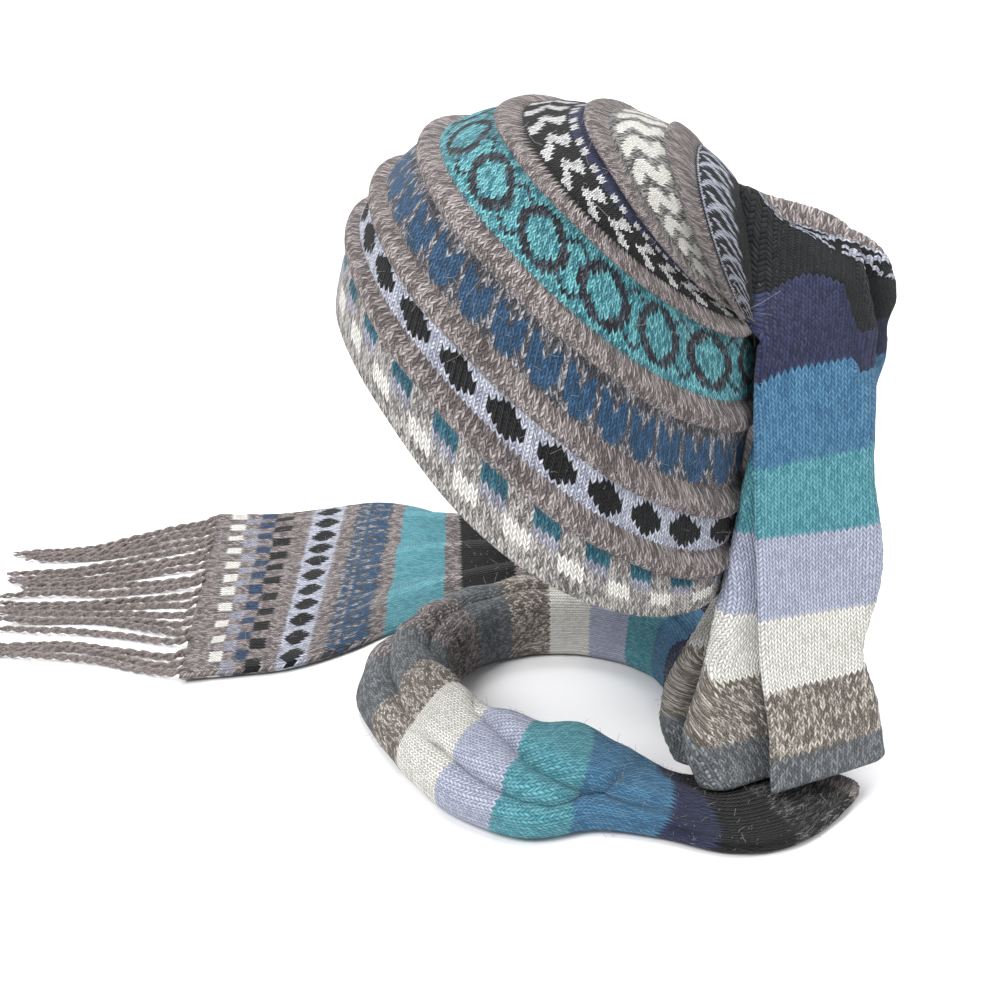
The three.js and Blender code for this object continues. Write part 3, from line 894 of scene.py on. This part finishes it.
def mix_colours(tree, share, first, second, blend="MIX"):
    """The first colour, with this share of the second laid over it."""
    node = tree.nodes.new("ShaderNodeMix")
    node.data_type = "RGBA"
    node.blend_type = blend
    plug(tree, share, node.inputs[0])
    for value, socket in ((first, node.inputs[6]), (second, node.inputs[7])):
        plug(tree, (*value, 1.0) if isinstance(value, tuple) else value, socket)
    return node.outputs[2]


# %% [markdown]
# Charts. The colour patterns are small repeats, drawn here as on a knitter's squared paper:
# an X is a stitch in the pattern yarn, and the first line is the row nearest the brim. Each
# line becomes one number whose binary digits are the stitches, a stepped ramp picks the
# number for the row, and arithmetic picks the digit for the wale.

# %% Knitting charts
CHARTS = {
    "blocks": "XXXX.... " * 3 + "....XXXX " * 5,
    "diamonds": """
        ........
        ..XX....
        .XXXX...
        XXXXXX..
        XXXXXX..
        XXXXXX..
        .XXXX...
        ..XX....
        ........""",
    "combs": """
        ..XX..
        .XXX..
        .XXXX.
        XXXXX.
        XXXXX.
        XXXXX.
        XX.XX.
        XX.XX.
        X...X.""",
    "end combs": """
        .XXXXXX.
        .XXXXXX.
        .XXXXXX.
        .XX..XX.
        .XX..XX.
        .XX..XX.
        XXXXXXXX
        ........
        .XX..XX.
        .XX..XX.""",
    "rings": """
        X...XXXXX...X
        .X.XXX.XXX.X.
        ..XXX...XXX..
        ..XX.....XX..
        .XX.......XX.
        .XX.......XX.
        .XX.......XX.
        .XX.......XX.
        ..XX.....XX..
        ..XXX...XXX..
        .X.XXX.XXX.X.
        X...XXXXX...X""",
    "steps": """
        XXX.....
        XXX.....
        .XXX....
        ..XXXX..
        ....XXX.
        ...XXX..
        ..XXX...
        .XXXX...
        ..XXX...
        ........
        XX...XX.
        XX...XX.""",
    "waves": """
        ........
        .XXXX...
        .XXXXX..
        ..XXXXX.
        ...XXXXX
        ....XXXX
        ...XXXXX
        ..XXXXX.
        .XXXXX..
        .XXXX...
        ..XXXXX.
        ...XXXXX
        ....XXX.""",
    "hooks": """
        XXXXXXXX
        X...X...
        XX......
        .XX...X.
        ..XX.XX.
        ..XXXX..
        .XX.XX..
        XX...XX.
        X...XXX.
        ...XX...""",
    "checks": "XXXX.... " + ("XXXX.... " * 4 + "....XXXX " * 4) * 2,
}


def chart_mask(tree, wale, row, name, start_row, shift):
    """1 where the chart has a pattern stitch, 0 elsewhere and outside its rows."""
    lines = CHARTS[name].split()
    repeat = len(lines[0])
    full = 2.0**repeat
    numbers = [sum(2**k for k, mark in enumerate(line) if mark == "X") for line in lines]
    local = row - float(start_row)
    stops = [(k / len(lines), (number / full,) * 3) for k, number in enumerate(numbers)]
    place = (local + 0.5) / float(len(lines))
    picked = add_node(tree, "RGBToBW", Color=ramp(tree, place, stops))
    number = Wire(tree, picked.outputs[0]) * full + 0.25
    digit = (wale + float(shift)).wrap(float(repeat))
    two = add_node(tree, "Value")
    two.outputs[0].default_value = 2.0
    worth = Wire(tree, two.outputs[0]).power(digit)
    bit = (number / worth).floor().wrap(2.0)
    inside = local.above(-0.5) * local.below(len(lines) - 0.5)
    return bit.above(0.5) * inside


# %% [markdown]
# The stitch. In plain knitting every stitch shows as two legs that lean apart like a roof.
# A leg's line across the wale is slanted, so the row number is read along the slant. That one
# trick gives the relief, the painted shade between the stitches and the saw-toothed edge
# where one colour meets the next.

# %% Knitted material
LEG_SLANT = 1.05
KNIT_SURFACE = dict(Roughness=0.92, Specular_IOR_Level=0.2, Sheen_Weight=0.08, Sheen_Roughness=0.5)


def knitted_material(name, programme, span, charts=(), pattern=()):
    """programme and pattern are lists of (knit millimetres, yarn name), over span."""
    material, tree, shader = new_material(name, **KNIT_SURFACE)
    place = add_node(tree, "UVMap")
    place.uv_map = "knit"
    split = add_node(tree, "SeparateXYZ", Vector=place.outputs[0])
    wale, row = (Wire(tree, split.outputs[k]) for k in (0, 1))

    lean = (wale.fraction() * 2.0 - 1.0).size()
    slanted = row - lean * LEG_SLANT
    wale_number = wale.floor()
    row_number = slanted.floor()

    # Each leg of yarn has its own luck, which with the fuzz of its fibres says where the
    # second ply shows.
    legs = add_node(tree, "CombineXYZ", X=(wale * 2.0).floor(), Y=row_number)
    dice = add_node(tree, "TexWhiteNoise", Vector=legs.outputs[0])
    luck = Wire(tree, dice.outputs["Value"])
    drawn_out = add_node(tree, "CombineXYZ", X=wale * 0.9, Y=slanted * 1.3)
    fibres = add_node(
        tree, "TexNoise", Vector=drawn_out.outputs[0], Scale=4.2, Detail=3.0, Roughness=0.7
    )
    fuzz = Wire(tree, fibres.outputs[0])

    low, high = span
    knit = ((row_number + 0.5) * ROW - low) / (high - low)

    def stops(rows, part):
        found = []
        for start, yarn in rows:
            colour = YARNS[yarn][part]
            colour = (colour,) * 3 if part == 2 else paint(colour)
            found.append((max(0.0, (start - low) / (high - low)), colour))
        return found

    parts = [ramp(tree, knit, stops(programme, part)) for part in range(3)]
    if charts:
        mask = None
        for chart_name, start_row, shift in charts:
            one = chart_mask(tree, wale_number, row_number, chart_name, start_row, shift)
            mask = one if mask is None else mask.maths("MAXIMUM", one)
        for part in range(3):
            worked = ramp(tree, knit, stops(pattern, part))
            parts[part] = mix_colours(tree, mask, parts[part], worked)

    main, second, share = parts
    ply = luck * 0.38 + fuzz * 1.45 - 0.43 - Wire(tree, share)
    soft = add_node(tree, "MapRange", To_Min=1.0, To_Max=0.0, From_Max=0.28)
    soft.interpolation_type = "SMOOTHSTEP"
    plug(tree, ply.maths("SMOOTH_MIN", 0.3, 0.1), soft.inputs["Value"])
    yarn_colour = mix_colours(tree, soft.outputs[0], main, second)

    across = (lean * 2.0 - 1.0).power(2.0).flipped()
    strand = (slanted.fraction() * 2.0 - 1.0).power(2.0).flipped()
    relief = (across * 0.7 + 0.3) * strand.power(0.6)
    # Painted shade: the yarn colour is multiplied by a grey that is darker in the gaps between
    # wales and between rows. The grey follows the stitch relief and varies a little with the fibre
    # noise.
    shade = relief * 0.86 + 0.16 + fuzz * 0.2
    grey = add_node(tree, "CombineColor", Red=shade, Green=shade, Blue=shade)
    stitch_shaded_colour = mix_colours(tree, 1.0, yarn_colour, grey.outputs[0], "MULTIPLY")
    plug(tree, stitch_shaded_colour, shader.inputs["Base Color"])
    height = relief + fuzz * 0.5
    bump = add_node(tree, "Bump", Strength=0.9, Distance=1.1 * MM, Height=height)
    plug(tree, bump.outputs[0], shader.inputs["Normal"])
    print(name, len(tree.nodes), "nodes")
    return material


# %% [markdown]
# The knitting programme of the whole tube, in millimetres from the brim: which yarn is the
# ground from where on, and which charts are worked over it in which pattern yarn.

# %% Programmes
HAT_PROGRAMME = [
    (0, "edge marl"),
    (7, "grey marl"),
    (25, "taupe"),
    (37, "pale lavender"),
    (57, "taupe"),
    (69, "silver marl"),
    (95, "taupe"),
    (107, "aqua"),
    (143, "taupe"),
    (155, "black"),
    (178, "navy"),
    (189, "taupe"),
    (201, "charcoal marl"),
    (233, "taupe"),
    (245, "black"),
    (271, "charcoal"),
    (305, "navy"),
]
HAT_PATTERN = [
    (0, "white"),
    (13, "block lavender"),
    (17.5, "block blue"),
    (30, "black"),
    (63, "comb blue"),
    (101, "ring charcoal"),
    (149, "zigzag grey"),
    (195, "white"),
    (239, "pale lavender"),
]
HAT_CHARTS = [
    ("blocks", 3, 0),
    ("diamonds", 17, 5),
    ("combs", 32, 0),
    ("rings", 51, 10),
    ("steps", 71, 0),
    ("waves", 92, 0),
    ("hooks", 112, 0),
]
STRIPES = [
    (305, "navy"),
    (342, "denim"),
    (379, "teal"),
    (414, "lavender"),
    (450, "white"),
    (483, "oatmeal"),
    (514, "grey"),
]
FIRST_PASS = [
    (548, "black"),
    (583, "navy"),
    (620, "denim"),
    (657, "teal"),
    (692, "lavender"),
    (727, "white"),
    (760, "oatmeal"),
    (793, "grey"),
    (828, "taupe"),
]
FRONT_RUN = [
    (858, "taupe"),
    (876, "grey"),
    (914, "oatmeal"),
    (950, "white"),
    (984, "lavender"),
    (1016, "teal"),
    (1054, "denim"),
    (1088, "navy"),
    (1101, "black"),
    (1120, "flecked black"),
    (1157, "taupe"),
]
END_PROGRAMME = [
    (1170, "taupe"),
    (1366, "black"),
    (1392, "taupe"),
    (1404, "charcoal marl"),
    (1424, "taupe"),
    (1434, "black"),
    (1466, "taupe"),
    (1478, "teal"),
    (1512, "taupe"),
    (1522, "silver marl"),
    (1547, "taupe"),
    (1556, "pale lavender"),
    (1577, "taupe"),
]
END_PATTERN = [
    (1170, "white"),
    (1478, "ring charcoal"),
    (1512, "comb blue"),
    (1550, "black"),
    (1598.5, "deep blue"),
    (1607, "block lavender"),
    (1616, "white"),
]
END_CHARTS = [
    ("end combs", 693, 0),
    ("diamonds", 708, 0),
    ("checks", 722, 0),
]

# %% Materials
hat_knit = knitted_material("hat_knit", HAT_PROGRAMME, (0.0, 320.0), HAT_CHARTS, HAT_PATTERN)
TAIL_PROGRAMME = [(230, "taupe"), (245, "black"), (271, "charcoal"), *STRIPES]
TAIL_CHARTS = [("hooks", 112, 0)]
TAIL_PATTERN = [(230, "pale lavender")]
tail_knit = knitted_material("tail_knit", TAIL_PROGRAMME, (230.0, 560.0), TAIL_CHARTS, TAIL_PATTERN)
rear_knit = knitted_material("rear_knit", FIRST_PASS, (540.0, 870.0))
front_knit = knitted_material("front_knit", FRONT_RUN, (850.0, 1190.0))
end_knit = knitted_material("end_knit", END_PROGRAMME, (1170.0, 1640.0), END_CHARTS, END_PATTERN)

# %% [markdown]
# The fringe. Doubled lengths of taupe yarn are pulled through the end of the knitting and lie
# as two-ply cords in four bunches. Each cord is two thin tubes wound round one gently
# wandering line that lies on the table. root is its place along the end's edge, from 0 at the
# near side to 1 at the far side.

# %% Fringe cords
FRINGE_TIPS = table(
    "root tip_x tip_y bunch",
    (0.985, -341, 215, 1),
    (0.935, -338, 211, 1),
    (0.885, -331, 207, 1),
    (0.835, -322, 204, 1),
    (0.785, -334, 176, 2),
    (0.735, -330, 172, 2),
    (0.685, -329, 165, 2),
    (0.63, -319, 161, 2),
    (0.575, -316, 155, 2),
    (0.52, -327, 146, 2),
    (0.46, -323, 131, 3),
    (0.40, -326, 127, 3),
    (0.345, -320, 120, 3),
    (0.29, -317, 112, 3),
    (0.235, -308, 108, 3),
    (0.18, -314, 98, 3),
    (0.12, -318, 76, 4),
    (0.07, -317, 70, 4),
    (0.02, -306, 62, 4),
)
PLY_RADIUS = 1.25
PLY_OFFSET = 0.95
TWIST_PITCH = 15.0
PLY_SIDES = 6
CORD_POINTS = 92
chance = np.random.default_rng(7)


def ways_round(line, hint=(0.0, 0.0, 1.0)):
    """The two directions square to a line of points, or to many lines at once."""
    forward = unit(np.gradient(line, axis=-2))
    side = unit(np.cross(forward, np.array(hint)))
    return side, np.cross(side, forward)


def rings_round(line, sides, hint=(0.0, 0.0, 1.0)):
    """Unit rings round every point of a line."""
    side, up = ways_round(line, hint)
    angle = np.linspace(0, 2 * math.pi, sides, endpoint=False)[:, None]
    return side[..., None, :] * np.cos(angle) + up[..., None, :] * np.sin(angle)


def tube(line, radius, sides):
    """Rings of points round a line, drawn in at both ends."""
    taper = np.ones(len(line))
    taper[0] = taper[-1] = 0.25
    return line[:, None, :] + rings_round(line, sides) * (radius * taper)[:, None, None]


def make_cords(name, tips):
    """One bunch of cords as one mesh, and the lines that its cords follow."""
    near, far = (
        np.array([SCARF_END[f"{edge}_{axis}"][-1] for axis in "xy"]) for edge in ("near", "far")
    )
    points = []
    faces = []
    spines = []
    start = 0
    for root, tip_x, tip_y in tips:
        begin = near + (far - near) * root + np.array([3.0, 0.3])
        finish = np.array([tip_x, tip_y])
        t = np.linspace(0, 1, CORD_POINTS)
        gather = 0.65 * step(0, 0.7, t) + 0.35 * t
        line = begin + (finish - begin) * np.stack([t, gather], axis=-1)
        wander = chance.uniform(-1, 1, 4)
        line[:, 1] += np.sin(math.pi * t) * (3.2 * wander[0] + 2.4 * np.sin(5 * t + 3 * wander[1]))
        line[:, 1] += 0.9 * np.sin(13 * t + 6 * wander[2]) * t + 2.5 * wander[3] * t * t
        height = 2.2 + 3.4 * np.exp(-((t / 0.05) ** 2)) + 0.8 * np.abs(wander[3])
        height = height + 0.5 * np.sin(9 * t + 5 * wander[1])
        spine = np.concatenate([line, height[:, None]], axis=1)
        spines.append(spine)
        length = np.linalg.norm(np.diff(spine, axis=0), axis=1).sum()
        turn = t * length / TWIST_PITCH * 2 * math.pi + 3 * wander[2]
        side, up = ways_round(spine)
        for half_turn in (0.0, math.pi):
            a = (turn + half_turn)[:, None]
            ply = spine + PLY_OFFSET * (side * np.cos(a) + up * np.sin(a))
            ply[:, 2] = np.maximum(ply[:, 2], PLY_RADIUS + 0.1)
            loose = 1 + 0.22 * np.sin(31 * t + 9 * wander[0] + half_turn) - 0.45 * t**6
            rings = tube(ply, PLY_RADIUS * loose, PLY_SIDES)
            points.append(rings.reshape(-1, 3))
            faces.append(grid_faces(len(ply), PLY_SIDES, True, start))
            ends = np.array([[0, 1, 2, 3], [0, 3, 4, 5]])
            faces.append(start + ends)
            faces.append(start + (len(ply) - 1) * PLY_SIDES + ends[:, ::-1])
            start += len(ply) * PLY_SIDES
    joined = np.concatenate(faces)
    places = np.zeros((len(joined), 4, 2))
    return build_mesh(name, np.concatenate(points), joined, places), np.stack(spines)


def wool_material(name, yarn):
    """Yarn seen close to: two plies of slightly different colour with a fibrous surface."""
    surface = dict(Roughness=0.95, Specular_IOR_Level=0.2, Sheen_Weight=0.25)
    material, tree, shader = new_material(name, **surface)
    place = add_node(tree, "TexCoord")
    noise = add_node(tree, "TexNoise", Vector=place.outputs["Object"], Scale=620.0, Detail=4.0)
    main, second, _ = yarn
    share = Wire(tree, noise.outputs[0])
    colour = mix_colours(tree, (share - 0.35) * 2.6, paint(main), paint(second))
    plug(tree, colour, shader.inputs["Base Color"])
    bump = add_node(tree, "Bump", Strength=0.6, Distance=0.5 * MM, Height=noise.outputs[0])
    plug(tree, bump.outputs[0], shader.inputs["Normal"])
    return material


fringe_yarn = wool_material("fringe_yarn", YARNS["fringe"])
fringes = []
fringe_lines = []
for bunch in (1, 2, 3, 4):
    picked = FRINGE_TIPS["bunch"] == bunch
    tips = zip(*(FRINGE_TIPS[key][picked] for key in ("root", "tip_x", "tip_y")))
    cords, lines = make_cords(f"fringe_cords_{bunch}", tips)
    cords.data.materials.append(fringe_yarn)
    fringes.append(cords)
    fringe_lines.append(lines)
fringe_lines = np.concatenate(fringe_lines)

# %% [markdown]
# The halo. Brushed wool and alpaca carry loose hairs that stand off the cloth and catch the
# light. Each one is a very thin bent tube that starts at a random place on the knitting.

# %% Loose hairs
HAIR_RADIUS = 0.075
HAIR_RINGS = 3
HAIR_SIDES = 3
HAIR_HINT = (0.31, 0.52, 0.8)
# How far the hairs cover the hat, up to where the tail hides it, and the tail's front panel.
HAIRY_HAT_ROWS = 166
FRONT_PANEL = 70


def hair_starts(grid, lift, count):
    """Random places on a grid of points and the way that the surface faces there."""
    normal = surface_normals(grid)
    i = chance.integers(1, grid.shape[0] - 1, count)
    j = chance.integers(1, grid.shape[1] - 1, count)
    return grid[i, j] + normal[i, j] * lift, normal[i, j]


def cord_starts(lines, radius, count):
    """Random places on the fringe and a way out of the cord."""
    i = chance.integers(0, lines.shape[0], count)
    j = chance.integers(0, lines.shape[1], count)
    out = unit(chance.normal(0, 1, (count, 3)) * (0.3, 1, 1))
    out[:, 2] = np.abs(out[:, 2])
    return lines[i, j] + out * radius, out


def make_hairs(name, start, out, low, high):
    """Bent hairs between low and high millimetres long, most of them short and a few long."""
    count = len(start)
    length = low + (high - low) * chance.random(count) ** 3
    stray = unit(out * 0.7 + chance.normal(0, 0.55, (count, 3)))
    curl = chance.normal(0, 0.42, (count, 3))
    s = np.linspace(0, 1, HAIR_RINGS)
    path = stray[:, None, :] * s[None, :, None] + curl[:, None, :] * (s**2)[None, :, None]
    line = start[:, None, :] + path * length[:, None, None]
    line[..., 2] = np.maximum(line[..., 2], 0.3)
    points = line[:, :, None, :] + rings_round(line, HAIR_SIDES, HAIR_HINT) * HAIR_RADIUS
    one = grid_faces(HAIR_RINGS, HAIR_SIDES, True)
    faces = one[None, :, :] + (np.arange(count) * HAIR_RINGS * HAIR_SIDES)[:, None, None]
    faces = faces.reshape(-1, 4)
    return build_mesh(name, points.reshape(-1, 3), faces, np.zeros((len(faces), 4, 2)))


soft_hair, _, _ = new_material("soft_hair", Base_Color=(*paint("9a938f"), 1), Roughness=0.7)
hairy_hat = hat_outer[:HAIRY_HAT_ROWS]
tail_front = tail_middle[:, :FRONT_PANEL]
HAIRS = [
    ("hat_hairs", *hair_starts(hairy_hat, 0.0, 7600), 1.5, 9.0, "hat_knit"),
    ("tail_hairs", *hair_starts(tail_front, HALF_CLOTH, 1700), 1.0, 6.0, "tail_knit"),
    ("tail_back_hairs", *hair_starts(tail_middle, -HALF_CLOTH, 600), 1.0, 6.0, "tail_knit"),
    ("front_hairs", *hair_starts(front_middle, HALF_CLOTH, 1500), 1.0, 4.5, "wrap_knit"),
    ("rear_hairs", *hair_starts(rear_middle, HALF_CLOTH, 900), 1.0, 4.5, "wrap_knit"),
    ("end_hairs", *hair_starts(end_middle, HALF_CLOTH, 1600), 1.0, 4.0, "end_knit"),
    ("fringe_hairs", *cord_starts(fringe_lines, 1.8, 3000), 1.5, 5.0, "fringe_yarn"),
]
hairs = []
for name, start, out, low, high, slot_name in HAIRS:
    piece = make_hairs(name, start, out, low, high)
    piece.data.materials.append(soft_hair)
    hairs.append((piece, slot_name))

# %% [markdown]
# Stage, light and camera: a pale floor that sweeps up to a pale wall, large soft lamps and
# one camera that stands a little above the hat and looks down at it.

# %% Stage
FLOOR_Z = -SEAT_HEIGHT * MM
FLOOR_FRONT, FLOOR_BACK = -1.6, 0.66
SWEEP_RADIUS = 0.1
SWEEP_STEPS = 8
WALL_TOP = 1.4
STAGE_SIDE = 2.2


def make_stage():
    profile = [(FLOOR_FRONT, FLOOR_Z), (FLOOR_BACK, FLOOR_Z)]
    for a in np.radians(90) * np.arange(1, SWEEP_STEPS + 1) / SWEEP_STEPS:
        out, up = SWEEP_RADIUS * math.sin(a), SWEEP_RADIUS * (1 - math.cos(a))
        profile.append((FLOOR_BACK + out, FLOOR_Z + up))
    profile.append((FLOOR_BACK + SWEEP_RADIUS, WALL_TOP))
    vertices = [(x, y, z) for y, z in profile for x in (-STAGE_SIDE, STAGE_SIDE)]
    faces = [(2 * k, 2 * k + 1, 2 * k + 3, 2 * k + 2) for k in range(len(profile) - 1)]
    mesh = bpy.data.meshes.new("sweep")
    mesh.from_pydata(vertices, [], faces)
    mesh.shade_smooth()
    sweep = bpy.data.objects.new("sweep", mesh)
    bpy.context.scene.collection.objects.link(sweep)
    paper, tree, shader = new_material("paper", Base_Color=(0.9, 0.9, 0.91, 1), Roughness=0.8)
    # The paper is clear from its back, so a camera behind the wall still sees the hat.
    side = add_node(tree, "NewGeometry")
    clear = add_node(tree, "BsdfTransparent")
    mix = add_node(tree, "MixShader", Fac=side.outputs["Backfacing"])
    plug(tree, shader.outputs[0], mix.inputs[1])
    plug(tree, clear.outputs[0], mix.inputs[2])
    plug(tree, mix.outputs[0], tree.nodes["Material Output"].inputs["Surface"])
    mesh.materials.append(paper)


make_stage()


# %% Light and camera
# How many degrees the camera looks down, its focal length as a share of its sensor's width,
# and that width in millimetres.
LOOK_DOWN = 19
FOCAL_SHARE = 1.4
SENSOR = 36


def soft_lamp(name, place, aim, size, watts):
    """A square lamp at a place, turned towards a point."""
    data = bpy.data.lights.new(name, "AREA")
    data.shape = "SQUARE"
    data.size = size
    data.energy = watts
    lamp = bpy.data.objects.new(name, data)
    direction = np.array(aim) - np.array(place)
    yaw = math.atan2(direction[1], direction[0])
    pitch = math.atan2(math.hypot(direction[0], direction[1]), -direction[2])
    lamp.location = place
    lamp.rotation_euler = (pitch, 0, yaw - math.pi / 2)
    bpy.context.scene.collection.objects.link(lamp)


soft_lamp("key_lamp", (-0.75, -0.9, 0.75), (0, 0, -0.1), 0.6, 21)
soft_lamp("fill_lamp", (0.95, -0.55, 0.45), (0.05, 0, -0.1), 0.8, 6)
soft_lamp("top_lamp", (0.0, 0.15, 1.1), (0, 0, -0.1), 1.0, 17)
world = bpy.data.worlds.new("soft_room")
world.use_nodes = True
room_light = world.node_tree.nodes["Background"]
room_light.inputs["Color"].default_value = (1, 1, 1, 1)
room_light.inputs["Strength"].default_value = 0.42
bpy.context.scene.world = world
bpy.context.scene.view_settings.view_transform = "Standard"

camera_data = bpy.data.cameras.new("camera")
camera_data.lens = FOCAL_SHARE * SENSOR
camera_data.sensor_width = SENSOR
camera = bpy.data.objects.new("camera", camera_data)
camera.location = (-0.0266, -0.63, 0.036)
camera.rotation_euler = (math.radians(90 - LOOK_DOWN), 0, 0)
bpy.context.scene.collection.objects.link(camera)
bpy.context.scene.camera = camera

# %% Pieces on the frame
PIECES = [
    (hat, hat_knit, "hat_knit", ["hat_body"]),
    (tail, tail_knit, "tail_knit", ["tail_drop"]),
    (front, front_knit, "wrap_knit", ["front_wrap"]),
    (rear, rear_knit, "wrap_knit", ["rear_wrap"]),
    (end, end_knit, "end_knit", ["scarf_end"]),
]
for obj, material, slot_name, nodes in PIECES:
    obj.data.materials.append(material)
    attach(obj, "root")
    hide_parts(*nodes)
for number, cords in enumerate(fringes, 1):
    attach(cords, "root")
    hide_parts(f"fringe_bunch_{number}")

for piece, slot_name in hairs:
    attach(piece, "root")
